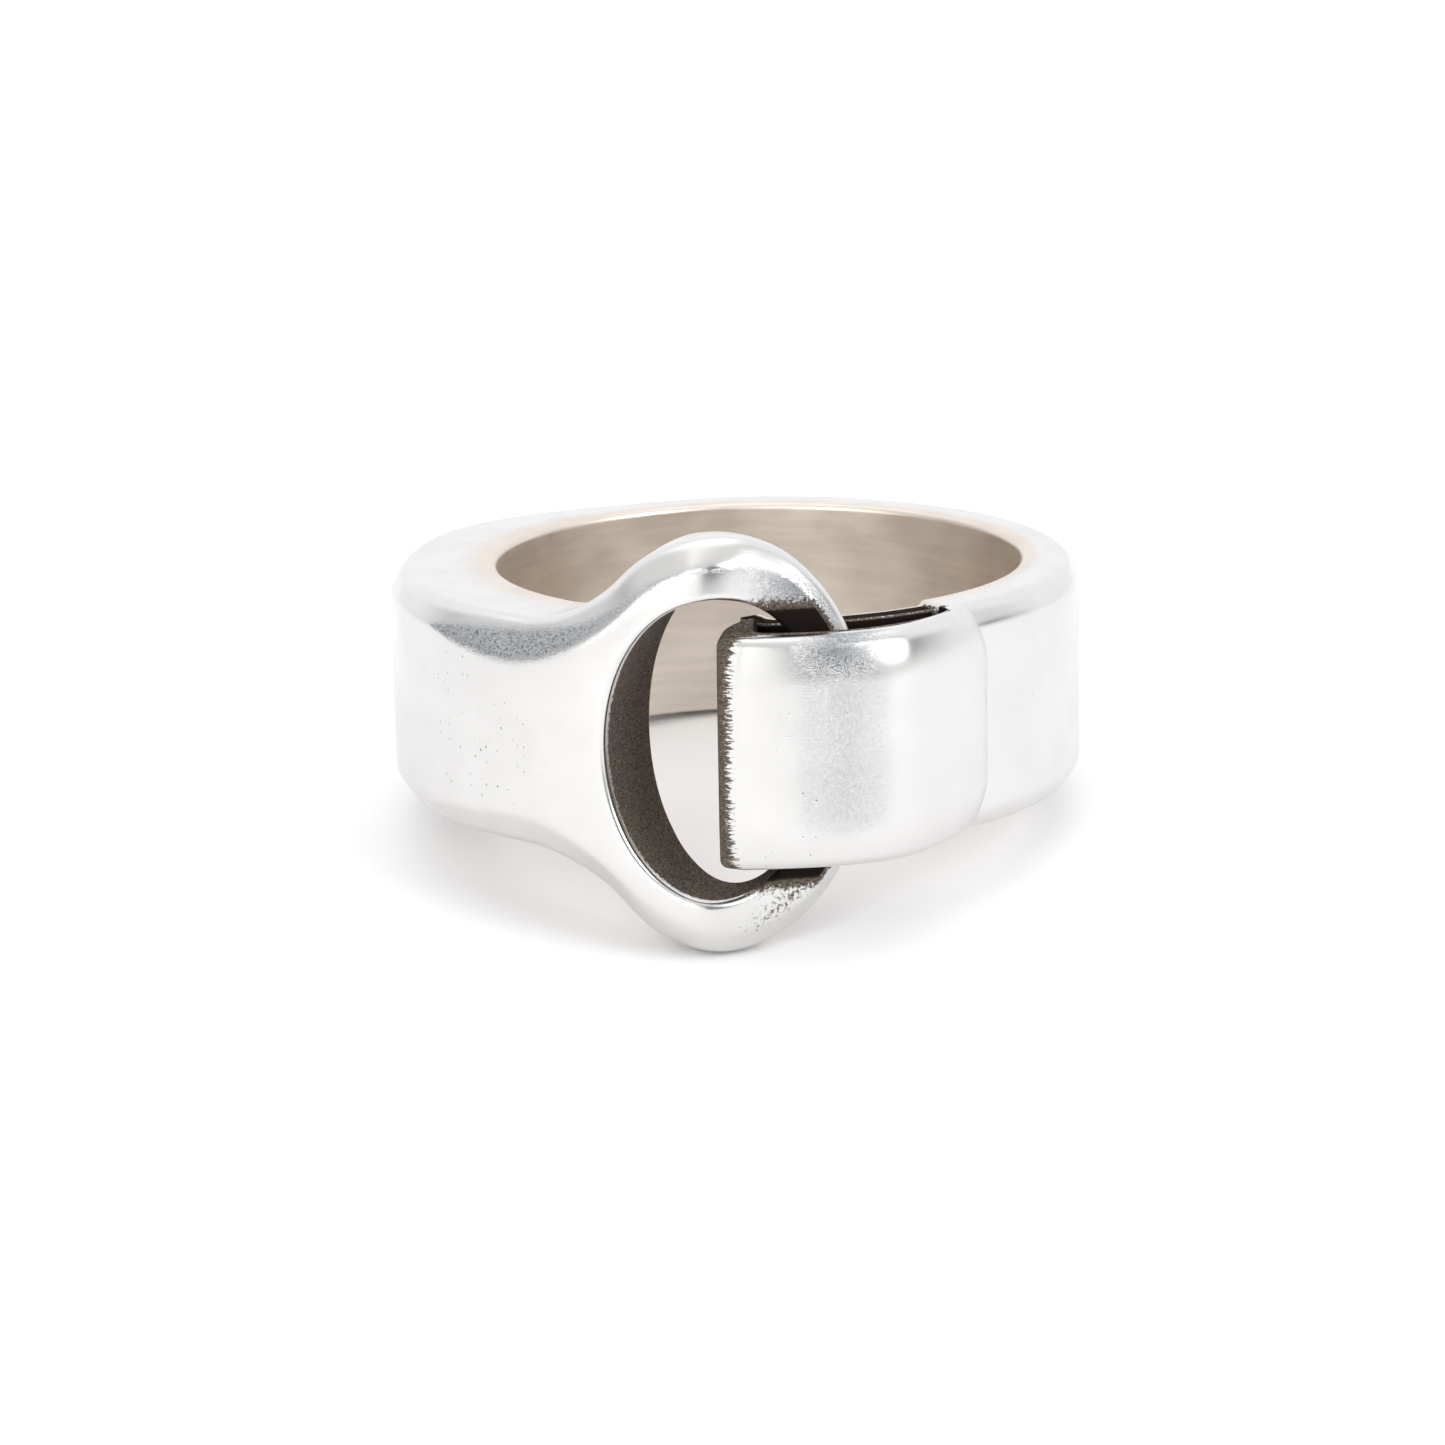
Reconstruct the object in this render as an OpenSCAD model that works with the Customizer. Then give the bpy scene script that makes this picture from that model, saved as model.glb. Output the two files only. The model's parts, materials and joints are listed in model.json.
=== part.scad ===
// Finger ring whose two ends link at the front: an oval eye on the left
// end hangs in a closed strap loop on the right end. Millimetres.
//
// The ring is drawn level first: its axis is Z, the eye is at -Y, the strap
// runs off to +X and the seam is at +Y. It is then tipped about X into the
// pose it rests in, on the foot of the eye and the back of the band. The
// origin stays at the centre of the finger hole.
//
// Angles are counted from the eye: minus runs over the strap to the right,
// plus over the thick shoulder to the left, and 180 is the seam at the back.

/* [Finger hole] */
// Diameter of the finger hole
bore_d = 19.7; // [16:0.1:22]
// Bevel on both edges of the finger hole
bore_bevel = 0.35; // [0.1:0.05:0.5]

/* [Band] */
// Height of the band along the finger
band_h = 8.4; // [7:0.1:9.5]
// Wall of the band at the right side and the back
band_wall = 2.2; // [1.8:0.05:2.6]
// Wall of the thick shoulder on the left
shoulder_wall = 4; // [3.4:0.05:4.6]
// Rounding of the band's outer edges
band_round = 0.9; // [0.3:0.1:1]

/* [Eye] */
// Height of the eye over its two ends
eye_h = 15.1; // [14:0.1:17]
// Width of the eye, taken as a full oval
eye_w = 10.6; // [10:0.1:11.2]
// Height of the oval hole
hole_h = 10.9; // [10.4:0.1:11.4]
// Width of the oval hole
hole_w = 7.2; // [6.8:0.1:7.4]
// Thickness of the limb that runs through the strap loop
limb_t = 1.35; // [1:0.05:1.4]
// Rounding of the eye's upper and lower ends
eye_round = 1.3; // [0.5:0.1:1.6]
// How far the eye's back leans off the finger above and below the band
eye_lean = 0.4; // [0.2:0.1:0.6]

/* [Strap loop] */
// Thickness of the layer that lies against the finger
liner_t = 0.95; // [0.8:0.05:1]
// Radial depth of the whole loop at its fold
loop_t = 4.4; // [4.2:0.05:4.6]
// Thickness of the wall at the fold
fold_wall = 1.3; // [1:0.05:1.4]
// Angle from the fold to where the loop's tip meets the band
loop_span = 49.5; // [46:0.5:51]
// Angle from the fold to the blind end of the slot
slot_span = 41.5; // [40:0.5:43]
// Rounding of the loop's upper and lower edges
loop_round = 0.5; // [0.2:0.1:0.6]

/* [Spring seam] */
// Play between the two halves of the band at the back
seam_play = 0.05; // [0.03:0.01:0.08]

/* [Hidden] */
$fn = 96;

bore_r = bore_d / 2;
band_r = bore_r + band_wall;
shoulder_r = bore_r + shoulder_wall;
loop_r = bore_r + loop_t;
liner_r = bore_r + liner_t;
seam_r = bore_r + band_wall / 2;
eye_out = eye_h / 2;

// The slot's outer wall is an arc about a point off the ring's axis.
slot_turn = -15;
slot_shift = 6;
slot_arc_r = 7;

// The limb lies in the middle of the slot.
limb_gap = 0.36;
limb_in_r = liner_r + limb_gap;
limb_out_r = limb_in_r + limb_t;

// The shoulder thins to the band between these angles.
thin_from = 105;
thin_to = 150;
// The limb's inner face rises off the finger hole between these angles.
rise_from = 9;
rise_to = -8;
// The eye's front face falls to the limb between these angles.
fall_from = 4;
fall_to = -12.5;
// The loop's tip falls to the band between these angles.
tip_from = -27;
// The fold's back is worn away from this radius in to the finger.
worn_r = 12.4;
// The fold's front corner is a quarter round this many degrees wide.
fold_corner = 2.4;
fold_corner_r = 0.6;

// Where the eye's oval turns into the sweep down to the band, and where
// that sweep ends.
sweep_x0 = 3.3;
sweep_x1 = 7.4;

// The shoulder runs from the sweep to where the band is thin.
shoulder_from = 36;
step = 3;
big = 40;
// Plan outlines run this far past a face that a round cut makes later.
spare = 0.4;

// Pose at rest: one line touches the foot of the eye and the edge of the
// back of the band. Both are arcs in the plane x = 0.
foot = [-(bore_r + eye_lean + eye_round), -eye_out + eye_round];
heel = [band_r - band_round, -band_h / 2 + band_round];
span = heel - foot;
rest_tilt = atan2(span.y, span.x) - asin((band_round - eye_round) / norm(span));

function smooth(t) = let (u = min(max(t, 0), 1)) u * u * (3 - 2 * u);
function between(a, a0, a1, v0, v1) = v0 + (v1 - v0) * smooth((a - a0) / (a1 - a0));
function at(r, a) = [-r * sin(a), -r * cos(a)];

// Outer radius of the left half at an angle from the eye
function left_r(a) = a > fall_from
    ? between(a, thin_from, thin_to, shoulder_r + spare, band_r)
    : between(a, fall_from, fall_to, shoulder_r + spare, limb_out_r);
// Inner radius of the left half, which lifts off to clear the strap
function left_in_r(a) = between(a, rise_from, rise_to, bore_r - spare, limb_in_r);

// Outer radius of the loop: a round corner at the fold, a fall at the tip
function loop_out_r(a) = a > -fold_corner
    ? loop_r - fold_corner_r * (1 - sqrt(1 - pow(1 + a / fold_corner, 2)))
    : between(a, tip_from, -loop_span, loop_r, band_r + 0.2);
function slot_out_r(a) = let (turn = a - slot_turn)
    slot_shift * cos(turn) + sqrt(pow(slot_arc_r, 2) - pow(slot_shift * sin(turn), 2));

// Half height of the eye and its sweep at a distance x to the left
function oval(x) = eye_out * sqrt(max(0, 1 - pow(2 * x / eye_w, 2)));
function oval_slope(x) = -eye_out * eye_out * 4 * x / (eye_w * eye_w * oval(x));
function sweep(x) = let (w = sweep_x1 - sweep_x0, t = (x - sweep_x0) / w)
    oval(sweep_x0) * (1 - smooth(t)) + band_h / 2 * smooth(t)
    + oval_slope(sweep_x0) * w * t * (1 - t) * (1 - t);
function eye_half(x) = x < sweep_x0 ? oval(x) : x < sweep_x1 ? sweep(x) : band_h / 2;

// Flat area between two radius curves, from one angle to another
module polar(from, to, h) {
    count = ceil(abs(to - from) / step);
    turns = [for (i = [0 : count]) from + (to - from) * i / count];
    outer = [for (a = turns) $outer(a)];
    inner = [for (i = [count : -1 : 0]) $inner(turns[i])];
    linear_extrude(h, center = true) polygon(concat(outer, inner));
}

// Solid of revolution with its two outer edges rounded
module blank(r, h, c) {
    rotate_extrude() {
        translate([0, -h / 2]) square([r - c, h]);
        translate([0, c - h / 2]) square([r, h - 2 * c]);
        for (s = [-1, 1]) translate([r - c, s * (h / 2 - c)]) circle(c);
    }
}

// Solid of revolution that the eye is cut from: all four edges rounded, and
// the back leaning off the finger above and below the band
module eye_blank() {
    lean_z = band_h / 2 - bore_bevel;
    round_z = eye_out - eye_round;
    half = [[bore_r, lean_z], [bore_r + eye_lean, round_z], [-foot.x, round_z],
        [-foot.x, eye_out], [shoulder_r - eye_round, eye_out],
        [shoulder_r - eye_round, round_z], [shoulder_r, round_z]];
    rotate_extrude() for (s = [0, 1]) mirror([0, s]) {
        polygon(concat([[bore_r, -1]], half, [[shoulder_r, -1]]));
        for (x = [-foot.x, shoulder_r - eye_round]) translate([x, round_z]) circle(eye_round);
    }
}

// The finger hole with a bevel at each edge of the band
module bore() {
    cylinder(r = bore_r, h = big, center = true);
    for (s = [0, 1]) mirror([0, 0, s]) translate([0, 0, band_h / 2 - bore_bevel])
        cylinder(r1 = bore_r, r2 = bore_r + 2 * bore_bevel, h = 2 * bore_bevel);
}

// The eye seen from the front, cut through the ring from front to axis
module eye_front() {
    right = [for (a = [-90 : 6 : 90]) [eye_w / 2 * cos(a), eye_out * sin(a)]];
    xs = [for (i = [1 : 20]) i * (sweep_x1 + 2) / 20];
    upper = [for (x = xs) [-x, eye_half(x)]];
    lower = [for (i = [len(xs) - 1 : -1 : 0]) [-xs[i], -eye_half(xs[i])]];
    rotate([90, 0, 0]) linear_extrude(big) polygon(concat(right, upper, lower));
}

module eye_hole() {
    rotate([90, 0, 0]) linear_extrude(big) scale([hole_w / hole_h, 1]) circle(d = hole_h);
}

module tipped() {
    rotate([-rest_tilt, 0, 0]) children();
}

// Left half: band, thick shoulder and eye in one casting, with a round end
// at the seam
module eye_shank() color("silver") tipped() {
    difference() {
        intersection() {
            left_plan(shoulder_from, thin_to, band_h);
            blank(shoulder_r, band_h, band_round);
        }
        bore();
    }
    difference() {
        intersection() {
            wedge(thin_to - 1, 180);
            blank(band_r, band_h, band_round);
        }
        bore();
    }
    difference() {
        intersection() {
            left_plan(-30, shoulder_from + 1, eye_h);
            eye_front();
            eye_blank();
        }
        eye_hole();
    }
    intersection() {
        seam_post(band_wall / 2 - seam_play, band_h);
        blank(band_r, band_h, band_round);
    }
}

module left_plan(from, to, h) {
    $outer = function(a) at(left_r(a), a);
    $inner = function(a) at(left_in_r(a), a);
    polar(from, to, h);
}

// Round post in the middle of the wall at the seam
module seam_post(r, h) {
    translate([0, seam_r, 0]) cylinder(r = r, h = h, center = true);
}

// Right half: band and the inner layer of the strap loop
module strap_shank() color("gainsboro") tipped() {
    difference() {
        intersection() {
            blank(band_r, band_h, band_round);
            translate([0, -big, -big / 2]) cube([big, 2 * big, big]);
        }
        bore();
        outside_liner();
        worn_corner();
        seam_post(band_wall / 2, big);
        translate([-1, 0, -big / 2]) cube([1 + 2 * seam_play, big, big]);
    }
}

// Space behind the fold's worn corner
module worn_corner() {
    steps = [0 : 0.4 : worn_r - bore_r + 0.6];
    edge = [for (i = steps) [0.5 * pow(i / 1.6, 1.7), i - worn_r]];
    linear_extrude(big, center = true) polygon(concat([[0, -worn_r], [-1, -worn_r]],
        [[-1, edge[len(edge) - 1].y]], [for (i = [len(edge) - 1 : -1 : 1]) edge[i]]));
}

// Space outside the inner layer, from the fold to the slot's end
module outside_liner() {
    difference() {
        wedge(1, -slot_span);
        cylinder(r = liner_r, h = 2 * big, center = true);
    }
}

// The slot that the eye's limb slides in, open to the inner layer
module slot() {
    start = -2 * asin(fold_wall / (2 * (liner_r + 1)));
    $outer = function(a) at(slot_out_r(a), a);
    $inner = function(a) at(bore_r, a);
    polar(start, -slot_span, big);
}

// Everything between two angles
module wedge(from, to) {
    linear_extrude(big, center = true) polygon([[0, 0], at(big, from), at(big, to)]);
}

// Fold and outer layer, soldered to the right half at both ends
module strap_fold() color("whitesmoke") tipped() {
    difference() {
        intersection() {
            loop_plan();
            blank(loop_r, band_h, loop_round);
        }
        slot();
        worn_corner();
        cylinder(r = liner_r, h = big, center = true);
        intersection() {
            wedge(-slot_span, -loop_span - 5);
            cylinder(r = band_r, h = big, center = true);
        }
    }
}

module loop_plan() {
    $outer = function(a) at(loop_out_r(a), a);
    $inner = function(a) at(liner_r - 1, a);
    polar(0, -loop_span, band_h);
}

eye_shank();
strap_shank();
strap_fold();
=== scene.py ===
import json
import math

import bmesh
import bpy
import numpy as np
from bpy.props import FloatProperty, FloatVectorProperty, PointerProperty
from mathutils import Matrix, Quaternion, Vector


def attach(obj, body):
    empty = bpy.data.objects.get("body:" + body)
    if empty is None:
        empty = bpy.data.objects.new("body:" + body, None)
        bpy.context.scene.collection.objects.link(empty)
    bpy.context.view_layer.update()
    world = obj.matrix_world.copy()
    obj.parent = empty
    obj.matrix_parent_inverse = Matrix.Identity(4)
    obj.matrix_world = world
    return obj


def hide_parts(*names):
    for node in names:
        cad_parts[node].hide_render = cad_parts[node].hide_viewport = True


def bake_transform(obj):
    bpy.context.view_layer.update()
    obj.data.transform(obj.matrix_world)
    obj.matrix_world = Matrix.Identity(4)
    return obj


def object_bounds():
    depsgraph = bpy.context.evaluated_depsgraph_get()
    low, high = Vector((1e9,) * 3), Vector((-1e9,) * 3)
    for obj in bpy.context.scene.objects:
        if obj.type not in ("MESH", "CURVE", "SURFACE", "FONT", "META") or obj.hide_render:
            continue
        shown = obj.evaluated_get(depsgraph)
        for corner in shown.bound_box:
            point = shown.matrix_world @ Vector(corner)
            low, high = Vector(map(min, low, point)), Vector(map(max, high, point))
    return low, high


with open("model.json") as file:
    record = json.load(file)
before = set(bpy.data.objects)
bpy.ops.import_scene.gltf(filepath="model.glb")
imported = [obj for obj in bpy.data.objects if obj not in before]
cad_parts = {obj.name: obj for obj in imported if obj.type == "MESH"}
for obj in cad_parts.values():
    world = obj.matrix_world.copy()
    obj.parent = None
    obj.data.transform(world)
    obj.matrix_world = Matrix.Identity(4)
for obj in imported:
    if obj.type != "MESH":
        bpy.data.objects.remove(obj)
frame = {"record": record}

bl_info = {
    "name": "Linked-End Ring",
    "version": (1, 0, 0),
    "blender": (4, 5, 0),
    "location": "3D View > Sidebar > Ring",
    "description": "Makes a silver finger ring whose eye and strap ends link at the front",
    "category": "Add Mesh",
}

CAD_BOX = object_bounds()
BORE = frame["record"]["mounts"][0]
LEAN = math.atan2(BORE["axis"][1], BORE["axis"][2])
MM = 0.001
# One unit of arc coordinate is a millimetre on a circle of this radius.
ARC_R = 12.0
# The slot's far wall is part of a circle: its radius, how far its centre is
# from the finger hole's axis, and the angle of that centre in degrees.
SLOT_R, SLOT_SHIFT, SLOT_TURN = 7.0, 6.0, -15.0
# The fold's end is worn back below this radius, over this depth.
WORN_R, WORN_DEPTH = 12.4, 1.6
# Angles in degrees along the strap: the fold's inner face, the slot's end,
# and how much further the tapered tip runs into the band.
FOLD_FACE, SLOT_END, TIP_RUN = -6.35, -41.5, -12.5
# Fall of the outer bevels across their width, as a slope.
BEVEL_SLOPE = 0.62


# ---------------------------------------------------------------- settings

class RingSizes(bpy.types.PropertyGroup):
    """Sizes of the ring's three pieces"""
    bore_radius: FloatProperty(
        name="Bore radius", description="Radius of the finger hole",
        default=BORE["dims"]["r_mm"] * MM, unit="LENGTH", subtype="DISTANCE")
    band_wall: FloatProperty(
        name="Band wall", description="Wall at the right side and the back",
        default=0.0022, unit="LENGTH", subtype="DISTANCE")
    shoulder_wall: FloatProperty(
        name="Shoulder wall", description="Wall of the thick shoulder and the eye",
        default=0.004, unit="LENGTH", subtype="DISTANCE")
    band_height: FloatProperty(
        name="Band height", description="Height of the band along the finger",
        default=0.0084, unit="LENGTH", subtype="DISTANCE")
    eye_height: FloatProperty(
        name="Eye height", description="Height of the eye over its two ends",
        default=0.0151, unit="LENGTH", subtype="DISTANCE")
    eye_angle: FloatProperty(
        name="Eye half angle", description="Angle from the eye's middle to its side",
        default=math.radians(26.0), unit="ROTATION", subtype="ANGLE")
    hole_height: FloatProperty(
        name="Hole height", description="Height of the oval hole",
        default=0.0109, unit="LENGTH", subtype="DISTANCE")
    hole_angle: FloatProperty(
        name="Hole half angle", description="Angle from the hole's middle to its side",
        default=math.radians(17.0), unit="ROTATION", subtype="ANGLE")
    limb_wall: FloatProperty(
        name="Limb wall", description="Thickness of the limb inside the strap loop",
        default=0.00135, unit="LENGTH", subtype="DISTANCE")
    liner_wall: FloatProperty(
        name="Liner wall", description="Thickness of the layer against the finger",
        default=0.00095, unit="LENGTH", subtype="DISTANCE")
    loop_depth: FloatProperty(
        name="Loop depth", description="Depth of the whole loop at its fold",
        default=0.0044, unit="LENGTH", subtype="DISTANCE")


class RingFinish(bpy.types.PropertyGroup):
    """Colours and wear of the silver"""
    silver: FloatVectorProperty(
        name="Silver", description="Colour of the polished metal",
        default=(0.70, 0.692, 0.68), size=3, min=0, max=1, subtype="COLOR")
    # Warm tint of the satin bore: partly patina, partly painted reflection of the bore's own
    # walls.
    bore_silver: FloatVectorProperty(
        name="Bore silver", description="Colour of the satin metal in the finger hole",
        default=(0.74, 0.675, 0.60), size=3, min=0, max=1, subtype="COLOR")
    # Blue-grey of the scuffs, also used as painted dark reflection on the limb's top and the
    # strap's face.
    scuff_and_reflection_colour: FloatVectorProperty(
        name="Scuffs and dark reflection", description="Colour of the scuffed grey patches",
        default=(0.20, 0.225, 0.25), size=3, min=0, max=1, subtype="COLOR")
    # Near black of the tarnish, also used as painted shade in the slot and inside the strap's
    # loop.
    black: FloatVectorProperty(
        name="Tarnish and shade", description="Colour of the darkened recesses",
        default=(0.016, 0.012, 0.010), size=3, min=0, max=1, subtype="COLOR")
    brown: FloatVectorProperty(
        name="Worn tarnish", description="Colour where the tarnish is rubbed",
        default=(0.20, 0.165, 0.135), size=3, min=0, max=1, subtype="COLOR")
    gloss: FloatProperty(
        name="Polish roughness", description="Roughness of the polished outside",
        default=0.16, min=0.02, max=1, subtype="FACTOR")


class StageLook(bpy.types.PropertyGroup):
    """Floor and lights"""
    floor: FloatVectorProperty(
        name="Floor", description="Colour of the pale floor",
        default=(0.90, 0.90, 0.905), size=3, min=0, max=1, subtype="COLOR")
    light: FloatProperty(
        name="Light", description="Strength of the soft lights",
        default=1.0, min=0, max=10)
    sky: FloatProperty(
        name="Sky", description="Strength of the white surroundings",
        default=0.94, min=0, max=10)


# ------------------------------------------------------------ shape helpers

def eased(t):
    """Rises from 0 to 1 with flat ends: 3 t squared minus 2 t cubed."""
    t = np.clip(t, 0.0, 1.0)
    return t * t * (3.0 - 2.0 * t)


def between(a, start, end, first, last):
    """Goes from first to last, eased, while a goes from start to end."""
    return first + (last - first) * eased((a - start) / (end - start))


def bump(a, middle, half):
    """One at the middle, eased to 0 at half to either side."""
    return eased(1.0 - np.abs(a - middle) / half)


def hinge(x, soft):
    """Zero below 0 and x above it, with a soft corner:
    half of x plus the root of x squared plus soft squared."""
    return 0.5 * (x + np.sqrt(x * x + soft * soft))


def quarter(d, radius):
    """How far a quarter round falls at a distance d inside its edge: the
    radius minus the root of radius squared minus (radius - d) squared."""
    t = np.clip(1.0 - d / radius, 0.0, 1.0)
    return radius * (1.0 - np.sqrt(1.0 - t * t))


def to_metres(angle, r, z):
    """A point at an angle from the eye, a radius and a height on the level
    ring, in millimetres, tipped back into the pose the ring rests in:
    x = -r sin a, y = -r cos a, then a turn about X."""
    x, y = -r * np.sin(angle), -r * np.cos(angle)
    return MM * np.stack([x, y * math.cos(LEAN) + z * math.sin(LEAN),
                          -y * math.sin(LEAN) + z * math.cos(LEAN)], axis=-1)


def distance_to(path, u, z):
    """Shortest distance from each point (u, z) to an open path of straight
    pieces: the point's foot on each piece is clamped to its two ends."""
    start, along = path[:-1], np.diff(path, axis=0)
    length = (along * along).sum(1)
    flat = np.stack([u.ravel(), z.ravel()], axis=-1)
    out = np.empty(len(flat))
    for i in range(0, len(flat), 4000):
        rel = flat[i:i + 4000, None, :] - start[None]
        t = np.clip((rel * along).sum(-1) / length, 0.0, 1.0)
        out[i:i + 4000] = np.sqrt(((rel - t[..., None] * along) ** 2).sum(-1).min(1))
    return out.reshape(u.shape)


def weave(rows, columns, close_columns=False):
    """Quads of a grid of points counted row by row."""
    i = np.arange(rows - 1)
    j = np.arange(columns if close_columns else columns - 1)
    i, j = np.meshgrid(i, j, indexing="ij")
    i1, j1 = i + 1, (j + 1) % columns
    quads = [i * columns + j, i1 * columns + j, i1 * columns + j1, i * columns + j1]
    return np.stack(quads, axis=-1).reshape(-1, 4)


class Shell:
    """Grids of points with their fields, welded into one closed piece."""

    def __init__(self):
        self.points, self.faces, self.fields, self.count = [], [], {}, 0

    def add(self, points, fields, close_columns=False):
        rows, columns = points.shape[:2]
        self.points.append(points.reshape(-1, 3))
        self.faces.append(weave(rows, columns, close_columns) + self.count)
        self.count += rows * columns
        for name, values in fields.items():
            self.fields.setdefault(name, []).append(
                np.broadcast_to(values, (rows, columns)).ravel())

    def finish(self, name, material, sharp=38.0):
        """Makes the mesh, merges the grids' shared edges, turns all faces
        outwards and keeps hard corners hard."""
        mesh = bpy.data.meshes.new(name)
        mesh.from_pydata(np.concatenate(self.points), [], np.concatenate(self.faces))
        for key, values in self.fields.items():
            layer = mesh.attributes.new(key, "FLOAT", "POINT")
            layer.data.foreach_set("value", np.concatenate(values).astype(np.float32))
        work = bmesh.new()
        work.from_mesh(mesh)
        bmesh.ops.remove_doubles(work, verts=work.verts, dist=2e-7)
        bmesh.ops.recalc_face_normals(work, faces=work.faces)
        open_edges = sum(not e.is_manifold for e in work.edges)
        work.to_mesh(mesh)
        work.free()
        if open_edges:
            raise RuntimeError(f"{name} isn't closed: {open_edges} open edges")
        mesh.shade_smooth()
        mesh.set_sharp_from_angle(angle=math.radians(sharp))
        obj = bpy.data.objects.new(name, mesh)
        bpy.context.scene.collection.objects.link(obj)
        mesh.materials.append(material)
        return obj


# ------------------------------------------------------------- the eye half

def worn(r):
    """How far the fold's end has worn back at a radius: a tenth, and half of
    the depth below WORN_R in units of WORN_DEPTH, to the power 1.7."""
    return 0.1 + 0.5 * (np.clip(WORN_R - r, 0, None) / WORN_DEPTH) ** 1.7


class EyeShape:
    """The eye, its sweep and the left half of the band as one wall. A point
    of it is an arc coordinate u, a height z and a depth q, which is 0 on the
    outside and 1 on the inside."""

    def __init__(self, sizes):
        mm = 1.0 / MM
        self.bore = sizes.bore_radius * mm
        self.band_out = self.bore + sizes.band_wall * mm
        self.out = self.bore + sizes.shoulder_wall * mm
        self.half = sizes.band_height * mm / 2
        self.eye_h, self.eye_w = sizes.eye_height * mm / 2, sizes.eye_angle * ARC_R
        self.hole_h, self.hole_w = sizes.hole_height * mm / 2, sizes.hole_angle * ARC_R
        self.limb_in = self.bore + sizes.liner_wall * mm + 0.36
        self.limb_out = self.limb_in + sizes.limb_wall * mm
        self.u0, self.u1 = 3.3, 7.4
        self.leave = math.acos(self.u0 / self.eye_w)
        turn = np.linspace(math.pi, self.leave, 260)
        oval = np.stack([self.eye_w * np.cos(turn), self.eye_h * np.sin(turn)], -1)
        u = np.linspace(self.u0, self.u1, 120)[1:]
        sweep = np.stack([u, self.height(u)], -1)
        self.outline = np.concatenate([oval, sweep, [[60.0, self.half]]])
        turn = np.linspace(math.pi, 0.0, 300)
        self.hole = np.stack([self.hole_w * np.cos(turn), self.hole_h * np.sin(turn)], -1)

    def height(self, u):
        """Half height left of the oval: a cubic that leaves the oval at u0
        with the oval's slope and lies flat on the band's height at u1."""
        start = self.eye_h * math.sqrt(1 - (self.u0 / self.eye_w) ** 2)
        slope = -self.eye_h ** 2 * self.u0 / (self.eye_w ** 2 * start)
        w = self.u1 - self.u0
        t = np.clip((u - self.u0) / w, 0.0, 1.0)
        s = eased(t)
        return start * (1 - s) + self.half * s + slope * w * t * (1 - t) ** 2

    def walls(self, u):
        """Outer and inner radius of the wall before its edges are shaped."""
        deg = np.degrees(u / ARC_R)
        out = np.where(deg > 4, between(deg, 105, 150, self.out, self.band_out),
                       between(deg, 4.0, -12.5, self.out, self.limb_out))
        inner = between(deg, 9.0, -8.0, self.bore, self.limb_in)
        return out, inner

    def edge_fields(self, u, z):
        """Distances to the outline and to the hole's edge."""
        high = np.abs(z)
        return distance_to(self.outline, u, high), distance_to(self.hole, u, high)

    def bevel_width(self, u):
        """Width of the outer bevel: widest where the sweep runs out."""
        wide = 1.0 + 0.35 * bump(u, 6.6, 4.2) - 0.15 * eased((u - 9.0) / 4.0)
        return wide - 0.1 * eased((u - 22.0) / 8.0)

    def radius(self, u, z, q, d=None, h=None):
        """Radius of a point. The outer wall falls by a bevel with a soft
        corner and a small round; the inner wall rises by a round and by the
        lean of the eye's back; both have a small round at the hole."""
        if d is None:
            d, h = self.edge_fields(u, z)
        out, inner = self.walls(u)
        stout = np.clip((out - inner) / 4.0, 0.0, 1.0)
        eye = eased((self.height(np.maximum(u, self.u0)) - self.half) / 1.4)
        eye = np.where(u < self.u0, 1.0, eye)
        stout = stout + (1.0 - stout) * eased((u - 12.0) / 10.0)
        width = self.bevel_width(u) * (0.35 + 0.65 * stout)
        fall = (BEVEL_SLOPE + 0.16 * eye) * hinge(width - d, 0.12)
        fall += 0.2 * stout * eye * np.clip(1.0 - d / 2.1, 0.0, 1.0) ** 2
        fall += quarter(d, 0.3 * (0.5 + 0.5 * stout))
        fall += quarter(h, 0.24)
        foot = 0.24 + 1.06 * eye
        rise = quarter(d, foot * np.maximum(stout, 0.2) ** 1.3)
        lean = 0.4 * np.clip((np.abs(z) - self.half + 0.35) / 2.4, 0.0, 1.0)
        rise += lean * eye * stout + quarter(h, 0.16)
        return (out - fall) * (1 - q) + (inner + rise) * q

    def look(self, u, z, q, d, h):
        """Fields that the finish reads, all from distances on the wall."""
        deg = np.degrees(u / ARC_R)
        wall = eased((0.05 - h) / 0.04) * eased(q / 0.05)
        front = 1.0 - eased(q / 0.1)
        # The thin line along the bevel's crease, widening into a crescent.
        middle = np.interp(deg, [-4, 4, 12, 20, 28, 34, 40, 46, 52],
                           [1.0, 0.98, 0.95, 0.88, 0.86, 0.92, 0.94, 0.92, 0.88])
        wide = np.interp(deg, [-4, 0, 6, 14, 21, 28, 34, 40, 46, 51.5, 53],
                         [0.0, 0.05, 0.12, 0.22, 0.40, 0.66, 0.72, 0.62, 0.42, 0.14, 0.0])
        line = np.clip(2.2 * (1 - np.abs(d - middle) / np.maximum(wide, 1e-3)), 0, 1)
        line = line * front * (z > 0) * (wide > 0.01) * between(deg, 8, 26, 0.55, 1.0)
        near = eased((5.75 - np.abs(z)) / 0.9) * eased((-u - 0.3) / 1.0)
        link = 1.05 * near * eased((d - 0.3) / 0.4) * front
        # Painted shade on the limb where it lies inside the strap's loop.
        hidden = eased((-deg - 17) / 3) * eased((d - 0.25) / 0.4)
        rubbed = 0.52 * bump(u, -2.1, 2.6) * bump(d, 1.0, 0.85) * front * (z < 0)
        # Tarnish on the hole's wall, the crease line and the limb, with the painted shade inside
        # the loop.
        tarnish_and_shade = np.maximum.reduce([0.93 * wall, 0.38 * line, 0.95 * link, 0.9 * hidden, rubbed])
        inside = eased((q - 0.5) / 0.4)
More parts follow.
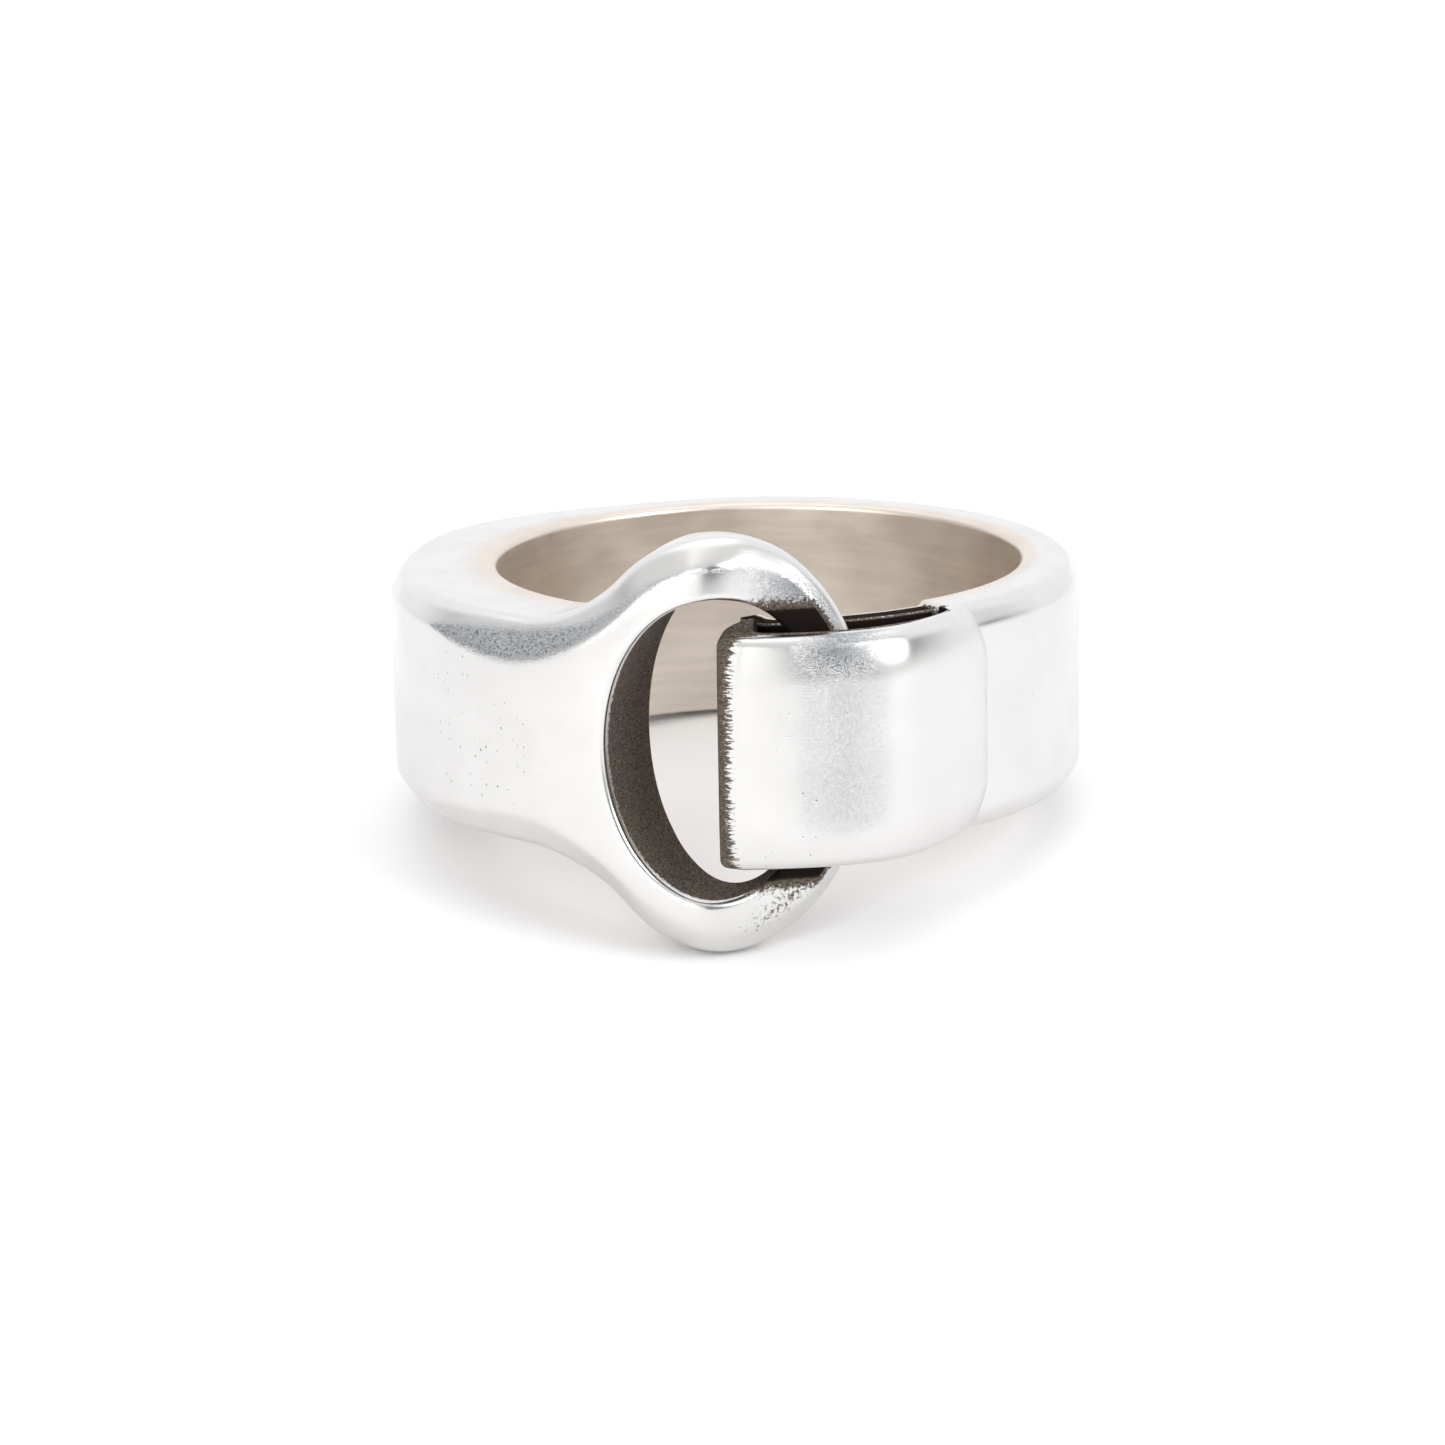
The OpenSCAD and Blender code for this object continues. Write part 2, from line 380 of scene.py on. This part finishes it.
        # Grey-blue patch on the limb's top face: scuffs with a painted dark reflection.
        scuff_and_reflection = bump(u, -3.0, 2.6) * eased((d - 0.15 - 0.4 * eased((u + 3) / 2)) / 0.5)
        scuff_and_reflection = scuff_and_reflection * front * (z > 0)
        scuff_and_reflection = np.maximum(scuff_and_reflection, line)
        pits = front * (0.3 + 0.7 * bump(u, 8.5, 5.0)) * eased((d - 0.9) / 0.8)
        return {"tarnish_and_shade": tarnish_and_shade, "scuff_and_reflection": scuff_and_reflection, "satin": inside, "pits": pits,
                "corner": 9.0 + 0.0 * u}

    def sheet(self, shell, u, z, q, **closed):
        u, z, q = np.broadcast_arrays(u, z, q)
        d, h = self.edge_fields(u, z)
        points = to_metres(u / ARC_R, self.radius(u, z, q, d, h), z)
        shell.add(points, self.look(u, z, q, d, h), **closed)


def build_eye(sizes, material):
    """The eye half from grids that share their edges: sections round the
    hole, rows that follow the sweep, a ring section carried to the back, and
    a flat end at the seam."""
    shape, shell = EyeShape(sizes), Shell()
    left = np.linspace(-shape.leave, shape.leave, 91)
    right = np.linspace(shape.leave, 2 * math.pi - shape.leave, 201)
    near = np.array([0, .01, .025, .045, .07, .10, .14, .19])
    far = np.array([.80, .845, .88, .91, .935, .955, .972, .985, .995, 1.0])
    across = np.concatenate([near, np.linspace(.24, .76, 14), far])
    depth = np.linspace(0, 1, 13)
    rim = np.linspace(0, 1, 9)[1:-1]

    def annulus(turn, s):
        u = (shape.hole_w + (shape.eye_w - shape.hole_w) * s) * np.cos(turn)
        return u, (shape.hole_h + (shape.eye_h - shape.hole_h) * s) * np.sin(turn)

    back = across[::-1]
    s = np.concatenate([across, np.ones(len(rim)), back, np.zeros(len(depth) - 2)])
    q = np.concatenate([0 * across, rim, 0 * back + 1, depth[1:-1][::-1]])
    u, z = annulus(right[:, None], s[None])
    shape.sheet(shell, u, z, q[None], close_columns=True)

    s = np.concatenate([back, np.zeros(len(depth) - 2), across])
    q = np.concatenate([0 * back + 1, depth[1:-1][::-1], 0 * across])
    u, z = annulus(left[:, None], s[None])
    shape.sheet(shell, u, z, q[None])

    start_u = shape.eye_w * np.cos(left)
    start_z = shape.eye_h * np.sin(left)
    share = np.clip(start_z / shape.height(start_u), -1, 1)
    share[0], share[-1] = -1.0, 1.0
    t = np.linspace(0, 1, 34)
    u = start_u[:, None] + (shape.u1 - start_u[:, None]) * t
    z = share[:, None] * shape.height(u)
    u[:, 0], z[:, 0] = start_u, start_z
    shape.sheet(shell, u, z, 0.0)
    shape.sheet(shell, u, z, 1.0)
    rims = np.linspace(0, 1, 9)
    for row in (0, -1):
        shape.sheet(shell, u[row][:, None], z[row][:, None], rims[None])

    end = math.pi * ARC_R
    along = np.concatenate([np.linspace(shape.u1, end - 0.3, 118), [end - 0.02, end]])
    rows = share * shape.half
    z = np.concatenate([rows, 0 * rim + rows[-1], rows[::-1], 0 * rim + rows[0]])
    q = np.concatenate([0 * rows, rim, 0 * rows + 1, rim[::-1]])
    shape.sheet(shell, along[:, None], z[None], q[None], close_columns=True)
    shape.sheet(shell, end, rows[:, None], rims[None])
    return shell.finish("eye_and_shoulder", material)


# ----------------------------------------------------------- the strap half

def build_strap_band(sizes, material):
    """The right half of the band and the liner: the band's own section
    carried from the seam to the fold, and thinned where the slot lies on it."""
    shape, shell = EyeShape(sizes), Shell()
    liner = shape.bore + sizes.liner_wall / MM
    along = np.radians(np.concatenate([
        [180.0, 179.9], np.linspace(178.6, 48.0, 110), np.linspace(47.5, 43.2, 6),
        np.linspace(43.0, 41.5, 12), np.linspace(40.8, 1.0, 40), [0.3, 0.0]]))
    rows = shape.half * np.sin(np.radians(90) * np.linspace(-1, 1, 81))
    rim = np.linspace(0, 1, 9)[1:-1]
    z = np.concatenate([rows, 0 * rim + rows[-1], rows[::-1], 0 * rim + rows[0]])
    q = np.concatenate([0 * rows, rim, 0 * rows + 1, rim[::-1]])

    def wall(a, z, q):
        a, z, q = np.broadcast_arrays(a, z, q)
        deg = np.degrees(a)
        leave = worn(liner - (liner - shape.bore) * q) / liner
        a = a + leave * (1 - np.clip(deg / 14, 0, 1))
        thin = eased((43.0 - deg) / 1.4)
        d = shape.half - np.abs(z)
        out = shape.band_out - (shape.band_out - liner) * thin
        width = shape.bevel_width(0 * a + 30.0) * (1 - thin)
        fall = BEVEL_SLOPE * hinge(width - d, 0.12) + quarter(d, 0.3 - 0.08 * thin)
        rise = quarter(d, 0.24)
        r = (out - fall) * (1 - q) + (shape.bore + rise) * q
        low = 0.18 * thin * eased(deg / 6)
        points = to_metres(-a, r, z * (1 - low / shape.half))
        front = 1 - eased(q / 0.12)
        # Painted shade on the liner's face in the slot and on its top rim at the slot's mouth; the
        # liner's end at the fold is tarnish with painted shade.
        slot = front * thin * eased((d - 0.03) / 0.06)
        end = eased((0.25 - deg) / 0.2)
        lip = thin * (1 - eased((d - 0.02) / 0.08)) * (1 - eased((q - 0.72) / 0.2))
        fields = {"tarnish_and_shade": np.maximum.reduce([slot, 0.9 * end, lip]), "scuff_and_reflection": 0 * a,
                  "satin": eased((q - 0.5) / 0.4),
                  "pits": front * (0.25 + 0.5 * bump(deg, 60, 20)) * eased((d - 0.6) / 0.8),
                  "corner": 0 * a + 9.0}
        return points, fields

    shell.add(*wall(along[:, None], z[None], q[None]), close_columns=True)
    for a in (along[0], along[-1]):
        shell.add(*wall(a, rows[:, None], np.linspace(0, 1, 9)[None]))
    return shell.finish("strap_band", material)


def build_strap_fold(sizes, material):
    """The fold and the outer layer: a strip between an outer and an inner
    path, seen along the finger, with a rounded upright section between them.
    Both paths are angle and radius along the strip."""
    shape, shell = EyeShape(sizes), Shell()
    liner = shape.bore + sizes.liner_wall / MM
    loop = shape.bore + sizes.loop_depth / MM
    base, corner = liner - 0.1, 0.6
    gap, slot_end = math.radians(FOLD_FACE), math.radians(SLOT_END)

    def slot_wall(a):
        """Far side of the slot's circle, seen from the ring's axis."""
        turn = a - math.radians(SLOT_TURN)
        return SLOT_SHIFT * np.cos(turn) + np.sqrt(SLOT_R ** 2 - (SLOT_SHIFT * np.sin(turn)) ** 2)

    def outer_wall(a):
        return loop - 0.105 * hinge(-np.degrees(a) - 28.5, 3.0)

    # Stations on the end face, round its corner, along the layer and its tip.
    rise = np.linspace(0, 1, 16)[:-1]
    out_r = base + (loop - corner - base) * rise
    out_a = -np.arcsin(worn(out_r) / out_r)
    in_a, in_r = gap + 0 * rise, base + (slot_wall(gap) - 0.35 - base) * rise
    turn = np.linspace(0, math.pi / 2, 12)
    x = 0.1 + corner * (1 - np.cos(turn))
    y = loop - corner + corner * np.sin(turn)
    out_a, out_r = np.append(out_a, -np.arctan2(x, y)), np.append(out_r, np.hypot(x, y))
    first = out_a[-1]
    in_start = gap - 0.35 / slot_wall(gap)
    in_a = np.append(in_a, gap + (in_start - gap) * (1 - np.cos(turn)))
    in_r = np.append(in_r, slot_wall(in_a[-12:]) - 0.35 * (1 - np.sin(turn)))
    t = np.linspace(0, 1, 56)[1:]
    layer = first + (slot_end - first) * t
    out_a, out_r = np.append(out_a, layer), np.append(out_r, outer_wall(layer))
    layer = in_start + (slot_end - in_start) * t
    in_a, in_r = np.append(in_a, layer), np.append(in_r, slot_wall(layer))
    t = np.linspace(0, 1, 18)[1:]
    tip = slot_end + math.radians(TIP_RUN) * t
    out_a, out_r = np.append(out_a, tip), np.append(out_r, outer_wall(tip))
    under = slot_end + math.radians(TIP_RUN) * np.clip((t - 0.2) / 0.8, 0, 1)
    bottom = 11.1 + (in_r[-1] - 11.1) * (1 - eased(t / 0.25))
    in_a, in_r = np.append(in_a, under), np.append(in_r, bottom)

    out_xy = np.stack([-out_r * np.sin(out_a), out_r * np.cos(out_a)], -1)
    in_xy = np.stack([-in_r * np.sin(in_a), in_r * np.cos(in_a)], -1)
    # How far along the strip, and how far from the end face's front corner.
    length = np.append(0, np.cumsum(np.hypot(*np.diff(out_xy, axis=0).T)))
    run = length - length[23]
    high = shape.half - 0.005 - 0.5 * quarter(length[-1] - 1.0 - length, 0.8)
    fine = np.sin(np.radians(90) * np.linspace(-1, 1, 91))
    rim = np.linspace(0, 1, 11)[1:-1]
    z = np.concatenate([fine, 0 * rim + 1, fine[::-1], 0 * rim - 1])
    q = np.concatenate([0 * fine, rim, 0 * fine + 1, rim[::-1]])

    def strip(k, z, q):
        k, z, q = np.broadcast_arrays(k, z, q)
        a, b = out_xy[k], in_xy[k]
        across = b - a
        thick = np.linalg.norm(across, axis=-1)
        d = (1 - np.abs(z)) * high[k]
        block = eased(-run[k] / 0.8)
        far = eased((run[k] - 4.0) / 4.5)
        soft = (0.30 + 0.30 * far) * (1 - block) * np.clip(1 - d / 1.8, 0, 1) ** 2
        fall = soft + quarter(d, 0.42 - 0.07 * block)
        gain = quarter(d, 0.12)
        depth = fall * (1 - q) + (thick - gain) * q
        p = a + across * (depth / thick)[..., None]
        points = to_metres(-np.arctan2(p[..., 0], p[..., 1]),
                           np.hypot(p[..., 0], p[..., 1]), z * high[k])
        top = eased((0.02 - d) / 0.02) * eased(q / 0.05)
        # Painted shade on the outer layer's face in the slot; the fold's end face is tarnish with
        # painted shade, and its top is tarnish.
        slot = eased((q - 0.9) / 0.08)
        face = eased((0.02 - run[k]) / 0.14) * (1 - eased(q / 0.05))
        lid = top * np.maximum(eased((q - 0.35) / 0.25), eased((0.9 - run[k]) / 0.8))
        # Grey-blue patch on the strap's face: scuffs with a painted dark reflection.
        spot = bump(run[k], 4.0, 2.2) * eased((1.75 - d) / 1.3) * (z > 0)
        spot = np.maximum(spot, 0.45 * bump(run[k], 4.2, 2.1) * eased((d - 1.0) / 1.0))
        fields = {"tarnish_and_shade": np.maximum.reduce([slot, 0.92 * face, 0.85 * lid]),
                  "scuff_and_reflection": spot * (1 - eased(q / 0.05)),
                  "satin": 0 * thick,
                  "pits": (1 - eased(q / 0.05)) * (1 - block)
                  * (0.4 + 0.6 * bump(run[k], 3.2, 3.2)),
                  "corner": np.where(q < 0.05, np.maximum(run[k], 0), 9.0)}
        return points, fields

    k = np.arange(len(out_a))
    shell.add(*strip(k[:, None], z[None], q[None]), close_columns=True)
    for end in (0, len(k) - 1):
        shell.add(*strip(end, fine[:, None], np.linspace(0, 1, 11)[None]))
    return shell.finish("strap_loop", material)


# ---------------------------------------------------------------- materials

class Nodes:
    """Short hand for a node tree."""

    def __init__(self, tree):
        self.tree = tree
        tree.nodes.clear()

    def add(self, kind, **settings):
        node = self.tree.nodes.new(kind)
        for name, value in settings.items():
            if hasattr(node, name):
                setattr(node, name, value)
            else:
                node.inputs[name].default_value = value
        return node

    def wire(self, source, target):
        self.tree.links.new(source, target)

    def sum(self, operation, a, b=None, clamp=False):
        node = self.add("ShaderNodeMath", operation=operation, use_clamp=clamp)
        for slot, value in enumerate((a, b)):
            if value is None:
                continue
            if isinstance(value, (int, float)):
                node.inputs[slot].default_value = value
            else:
                self.wire(value, node.inputs[slot])
        return node.outputs[0]

    def field(self, name):
        return self.add("ShaderNodeAttribute", attribute_name=name).outputs["Fac"]

    def noise(self, where, scale, detail=3.0, rough=0.5, stretch=(1, 1, 1), turn=(0, 0, 0)):
        """Noise with its grain given per millimetre and stretched by axis."""
        place = self.add("ShaderNodeMapping", vector_type="POINT")
        place.inputs["Scale"].default_value = stretch
        place.inputs["Rotation"].default_value = turn
        self.wire(where, place.inputs["Vector"])
        node = self.add("ShaderNodeTexNoise", Scale=scale, Detail=detail, Roughness=rough)
        self.wire(place.outputs[0], node.inputs["Vector"])
        return node.outputs["Fac"]

    def spread(self, value, low, high, first=0.0, last=1.0):
        node = self.add("ShaderNodeMapRange", interpolation_type="SMOOTHSTEP")
        for slot, number in zip(("From Min", "From Max", "To Min", "To Max"),
                                (low, high, first, last)):
            node.inputs[slot].default_value = number
        self.wire(value, node.inputs["Value"])
        return node.outputs["Result"]

    def tint(self, factor, a, b):
        node = self.add("ShaderNodeMix", data_type="RGBA", blend_type="MIX")
        self.wire(factor, node.inputs["Factor"])
        for slot, value in (("A", a), ("B", b)):
            socket = [s for s in node.inputs if s.name == slot and s.type == "RGBA"][0]
            if isinstance(value, bpy.types.NodeSocket):
                self.wire(value, socket)
            else:
                socket.default_value = (*value, 1.0)
        return [s for s in node.outputs if s.type == "RGBA"][0]


def aged_silver(finish):
    """Polished cast silver: fine pits and hairlines, satin in the bore with a warm tint that is
    partly patina and partly painted reflection, grey scuffs that also paint dark reflections, and
    brown-black tarnish whose edge breaks up into specks; the same near black paints the shade in
    the slot and inside the loop."""
    material = bpy.data.materials.new("aged_silver")
    material.use_nodes = True
    n = Nodes(material.node_tree)
    place = n.add("ShaderNodeTexCoord").outputs["Object"]
    level = n.add("ShaderNodeMapping", vector_type="POINT")
    level.inputs["Scale"].default_value = (1 / MM, 1 / MM, 1 / MM)
    level.inputs["Rotation"].default_value = (LEAN, 0, 0)
    n.wire(place, level.inputs["Vector"])
    mm = level.outputs[0]

    speck = n.noise(mm, 9.0, 6.0, 0.62)
    cloud = n.noise(mm, 0.55, 3.0)
    grain = n.noise(mm, 26.0, 4.0, 0.6)
    lines = n.noise(mm, 5.0, 4.0, 0.55, (1, 1, 5.0), (0.25, 0.35, 0))
    other = n.noise(mm, 5.0, 4.0, 0.55, (5.0, 5.0, 0.7), (0.4, -0.5, 0.3))
    file_marks = n.noise(mm, 6.5, 3.0, 0.65, (0.4, 0.4, 1.9), (0.0, 0.5, 0))

    # Tarnish and painted shade: the field shifted by specks and cut off steeply.
    shift = n.sum("MULTIPLY", n.sum("SUBTRACT", speck, 0.5), 1.9)
    broken = n.sum("ADD", n.field("tarnish_and_shade"), shift)
    cut = n.spread(broken, 0.38, 0.76)
    solid = n.spread(n.field("tarnish_and_shade"), 0.80, 0.97)
    tarnish_and_shade = n.sum("MAXIMUM", cut, solid)
    tarnish_and_shade = n.sum("MULTIPLY", tarnish_and_shade, n.spread(n.field("tarnish_and_shade"), 0.02, 0.2))
    # File marks bite into the front face along the strap's end.
    reach = n.sum("MULTIPLY", n.spread(file_marks, 0.36, 0.66), 0.34)
    bite = n.spread(n.sum("SUBTRACT", reach, n.field("corner")), -0.05, 0.12)
    tarnish_and_shade = n.sum("MAXIMUM", tarnish_and_shade, bite)

    # Pits: small dots in some of the cells only.
    cells = n.add("ShaderNodeTexVoronoi", feature="F1", Scale=4.5, Randomness=1.0)
    n.wire(mm, cells.inputs["Vector"])
    chosen = n.add("ShaderNodeSeparateColor")
    n.wire(cells.outputs["Color"], chosen.inputs[0])
    size = n.sum("MULTIPLY", n.spread(chosen.outputs[0], 0.45, 1.0, 0.0, 0.24), n.field("pits"))
    pit = n.spread(n.sum("SUBTRACT", size, cells.outputs["Distance"]), -0.01, 0.10)

    wear = n.spread(n.sum("ADD", grain, n.sum("MULTIPLY", lines, 0.6)), 0.56, 1.0)
    scratch = n.sum("MAXIMUM", n.spread(lines, 0.52, 0.62), n.spread(other, 0.53, 0.63))
    scuff_and_reflection = n.sum("MULTIPLY", n.field("scuff_and_reflection"), n.spread(n.sum("ADD", scratch, speck), 0.15, 0.85))

    bright = n.tint(n.spread(cloud, 0.3, 0.7, 0.0, 0.35), tuple(finish.silver),
                    tuple(0.93 * c for c in finish.silver))
    # The bore's warm tint is partly patina and partly painted reflection of its own walls.
    bore = n.tint(n.spread(n.noise(mm, 1.1, 4.0, 0.55, (0.35, 0.35, 3.0)), 0.3, 0.7),
                  tuple(finish.bore_silver), tuple(0.9 * c for c in finish.bore_silver))
    colour = n.tint(n.field("satin"), bright, bore)
    # Grey-blue scuffs, partly painted dark reflection.
    colour = n.tint(n.sum("MULTIPLY", scuff_and_reflection, 0.9), colour, tuple(finish.scuff_and_reflection_colour))
    # The slot's painted shade, where the field is deepest, keeps no brown.
    wear = n.sum("MULTIPLY", wear, n.spread(n.field("tarnish_and_shade"), 0.95, 1.0, 1.0, 0.0))
    dark = n.tint(wear, tuple(finish.black), tuple(finish.brown))
    colour = n.tint(n.sum("MULTIPLY", pit, 0.75), colour, tuple(finish.brown))
    colour = n.tint(tarnish_and_shade, colour, dark)

    shader = n.add("ShaderNodeBsdfPrincipled")
    shader.inputs["Specular IOR Level"].default_value = 0.0
    n.wire(colour, shader.inputs["Base Color"])
    n.wire(n.spread(tarnish_and_shade, 0.0, 1.0, 1.0, 0.3), shader.inputs["Metallic"])
    rough = n.sum("ADD", n.spread(cloud, 0.3, 0.7, 0.0, 0.08),
                  n.sum("MULTIPLY", n.field("satin"), 0.16))
    rough = n.sum("ADD", rough, finish.gloss)
    rough = n.sum("ADD", rough, n.sum("MULTIPLY", scuff_and_reflection, 0.15))
    rough = n.sum("ADD", rough, n.sum("MULTIPLY", tarnish_and_shade, 0.55), clamp=True)
    n.wire(rough, shader.inputs["Roughness"])

    height = n.sum("MULTIPLY", grain, 0.25)
    height = n.sum("ADD", height, n.sum("MULTIPLY", scratch, n.sum("MULTIPLY", scuff_and_reflection, 0.9)))
    height = n.sum("SUBTRACT", height, n.sum("MULTIPLY", pit, 1.6))
    height = n.sum("SUBTRACT", height, n.sum("MULTIPLY", tarnish_and_shade, n.sum("MULTIPLY", speck, 2.4)))
    relief = n.add("ShaderNodeBump", Strength=0.5, Distance=0.00003)
    n.wire(height, relief.inputs["Height"])
    n.wire(relief.outputs[0], shader.inputs["Normal"])
    output = n.add("ShaderNodeOutputMaterial")
    n.wire(shader.outputs[0], output.inputs["Surface"])
    return material


def pale_floor(look):
    """Matt white with the faintest cloudiness."""
    material = bpy.data.materials.new("pale_floor")
    material.use_nodes = True
    n = Nodes(material.node_tree)
    place = n.add("ShaderNodeTexCoord").outputs["Object"]
    shade = n.noise(place, 14.0, 2.0)
    colour = n.tint(n.spread(shade, 0.3, 0.7, 0.0, 0.2), tuple(look.floor),
                    tuple(0.985 * c for c in look.floor))
    shader = n.add("ShaderNodeBsdfPrincipled", Roughness=0.75)
    n.wire(colour, shader.inputs["Base Color"])
    output = n.add("ShaderNodeOutputMaterial")
    n.wire(shader.outputs[0], output.inputs["Surface"])
    return material


# ---------------------------------------------------------------- operators

def silver():
    return bpy.data.materials.get("aged_silver") or aged_silver(bpy.context.scene.ring_finish)


class RING_OT_eye(bpy.types.Operator):
    """Make the eye, the thick shoulder and the left half of the band"""
    bl_idname = "ring.eye"
    bl_label = "Eye Half"

    def execute(self, context):
        piece = build_eye(context.scene.ring_sizes, silver())
        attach(piece, "eye_half")
        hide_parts("eye_shank")
        return {"FINISHED"}


class RING_OT_strap_band(bpy.types.Operator):
    """Make the right half of the band with the layer against the finger"""
    bl_idname = "ring.strap_band"
    bl_label = "Strap Band"

    def execute(self, context):
        piece = build_strap_band(context.scene.ring_sizes, silver())
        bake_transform(piece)
        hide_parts("strap_shank")
        return {"FINISHED"}


class RING_OT_strap_fold(bpy.types.Operator):
    """Make the fold and the outer layer of the strap loop"""
    bl_idname = "ring.strap_fold"
    bl_label = "Strap Fold"

    def execute(self, context):
        piece = build_strap_fold(context.scene.ring_sizes, silver())
        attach(piece, "strap_half")
        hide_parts("strap_fold")
        return {"FINISHED"}


def softbox(name, place, aim, size, power, colour):
    """A square area light that points from its place to aim."""
    lamp = bpy.data.lights.new(name, "AREA")
    lamp.shape, lamp.size, lamp.size_y = "RECTANGLE", size[0], size[1]
    lamp.energy, lamp.color = power, colour
    obj = bpy.data.objects.new(name, lamp)
    bpy.context.scene.collection.objects.link(obj)
    obj.location = place
    obj.rotation_mode = "QUATERNION"
    obj.rotation_quaternion = (Vector(aim) - Vector(place)).to_track_quat("-Z", "Y")
    return obj


class RING_OT_stage(bpy.types.Operator):
    """Make the floor, the soft lights and the camera"""
    bl_idname = "ring.stage"
    bl_label = "Stage"

    def execute(self, context):
        scene, look = context.scene, context.scene.ring_stage
        level = CAD_BOX[0].z
        mesh = bpy.data.meshes.new("floor")
        far = 3.0
        sides = ((-far, -far), (far, -far), (far, far), (-far, far))
        corners = [(x, y, level) for x, y in sides]
        mesh.from_pydata(corners, [], [(0, 1, 2, 3)])
        floor = bpy.data.objects.new("floor", mesh)
        scene.collection.objects.link(floor)
        mesh.materials.append(pale_floor(look))

        world = bpy.data.worlds.new("white_room")
        scene.world = world
        world.use_nodes = True
        n = Nodes(world.node_tree)
        where = n.add("ShaderNodeTexCoord").outputs["Generated"]
        parts = n.add("ShaderNodeSeparateXYZ")
        n.wire(where, parts.inputs[0])
        # A dark gap right of the front, and sides that dim above the horizon.
        turn = n.sum("ARCTAN2", parts.outputs["X"], n.sum("MULTIPLY", parts.outputs["Y"], -1.0))
        gap = n.sum("MULTIPLY", n.spread(turn, 0.24, 0.40), n.spread(turn, 0.88, 0.72))
        gap = n.sum("MULTIPLY", gap, n.spread(parts.outputs["Z"], 0.90, 0.60))
        side = n.sum("ADD", n.spread(turn, -0.95, -1.35), n.spread(turn, 1.15, 1.55), clamp=True)
        side = n.sum("MULTIPLY", side, n.spread(parts.outputs["Z"], 0.50, 0.20))
        side = n.sum("MULTIPLY", side, n.spread(parts.outputs["Z"], 0.10, 0.15))
        rear = n.spread(n.sum("ABSOLUTE", turn), 1.8, 2.2)
        colour = n.tint(n.sum("MULTIPLY", side, 0.85), (1.0, 1.0, 1.0), (0.30, 0.30, 0.32))
        colour = n.tint(rear, colour, (1.25, 1.25, 1.28))
        card = n.sum("MULTIPLY", n.spread(turn, -0.55, -0.30), n.spread(turn, 0.34, 0.20))
        card = n.sum("MULTIPLY", card, n.spread(parts.outputs["Z"], 0.75, 0.60))
        colour = n.tint(card, colour, (1.55, 1.55, 1.53))
        colour = n.tint(n.sum("MULTIPLY", gap, 0.92), colour, (0.07, 0.085, 0.11))
        back = n.add("ShaderNodeBackground", Strength=look.sky)
        n.wire(colour, back.inputs["Color"])
        output = n.add("ShaderNodeOutputWorld")
        n.wire(back.outputs[0], output.inputs["Surface"])

        aim = (0, 0, 0)
        warm, cool = (1, 0.99, 0.97), (0.97, 0.98, 1)
        softbox("top_box", (-0.03, 0.08, 0.34), aim, (0.40, 0.34), 0.18 * look.light, warm)
        softbox("left_box", (-0.20, -0.27, 0.13), aim, (0.22, 0.20), 0.22 * look.light, warm)
        # A small box that brightens the floor the eye's face reflects.
        patch = (-0.03, -0.09, level)
        softbox("front_box", (-0.045, -0.13, 0.09), patch, (0.08, 0.08), 0.05 * look.light, warm)
        softbox("right_box", (0.272, -0.139, 0.18), aim, (0.19, 0.20), 0.52 * look.light, cool)

        lens = bpy.data.cameras.new("camera")
        lens.lens, lens.sensor_width = 118.6, 36.0
        lens.clip_start, lens.clip_end = 0.01, 20.0
        camera = bpy.data.objects.new("camera", lens)
        scene.collection.objects.link(camera)
        turn, rise, roll = map(math.radians, (7.66, 22.354, -2.141))
        flat = math.cos(rise)
        back = Vector((math.sin(turn) * flat, -math.cos(turn) * flat, math.sin(rise)))
        target, distance = Vector((-0.001384, -0.001014, -0.001996)), 0.180
        camera.rotation_mode = "QUATERNION"
        camera.location = target + distance * back
        look_at = (-back).to_track_quat("-Z", "Y")
        camera.rotation_quaternion = look_at @ Quaternion((0, 0, 1), roll)
        scene.camera = camera
        scene.view_settings.view_transform = "Standard"
        return {"FINISHED"}


class RING_PT_panel(bpy.types.Panel):
    """Lists the ring's settings and its makers"""
    bl_label = "Linked-End Ring"
    bl_idname = "RING_PT_panel"
    bl_space_type = "VIEW_3D"
    bl_region_type = "UI"
    bl_category = "Ring"

    def draw(self, context):
        scene = context.scene
        for group in (scene.ring_sizes, scene.ring_finish, scene.ring_stage):
            box = self.layout.box()
            for name in group.bl_rna.properties.keys():
                if name not in ("rna_type", "name"):
                    box.prop(group, name)
        for maker in MAKERS:
            self.layout.operator(maker.bl_idname)


MAKERS = (RING_OT_stage, RING_OT_eye, RING_OT_strap_band, RING_OT_strap_fold)
CLASSES = (RingSizes, RingFinish, StageLook, *MAKERS, RING_PT_panel)


def register():
    for each in CLASSES:
        bpy.utils.register_class(each)
    bpy.types.Scene.ring_sizes = PointerProperty(type=RingSizes)
    bpy.types.Scene.ring_finish = PointerProperty(type=RingFinish)
    bpy.types.Scene.ring_stage = PointerProperty(type=StageLook)


def unregister():
    del bpy.types.Scene.ring_stage
    del bpy.types.Scene.ring_finish
    del bpy.types.Scene.ring_sizes
    for each in reversed(CLASSES):
        bpy.utils.unregister_class(each)


def main():
    register()
    bpy.ops.ring.stage()
    bpy.ops.ring.eye()
    bpy.ops.ring.strap_band()
    bpy.ops.ring.strap_fold()


if __name__ == "__main__":
    main()
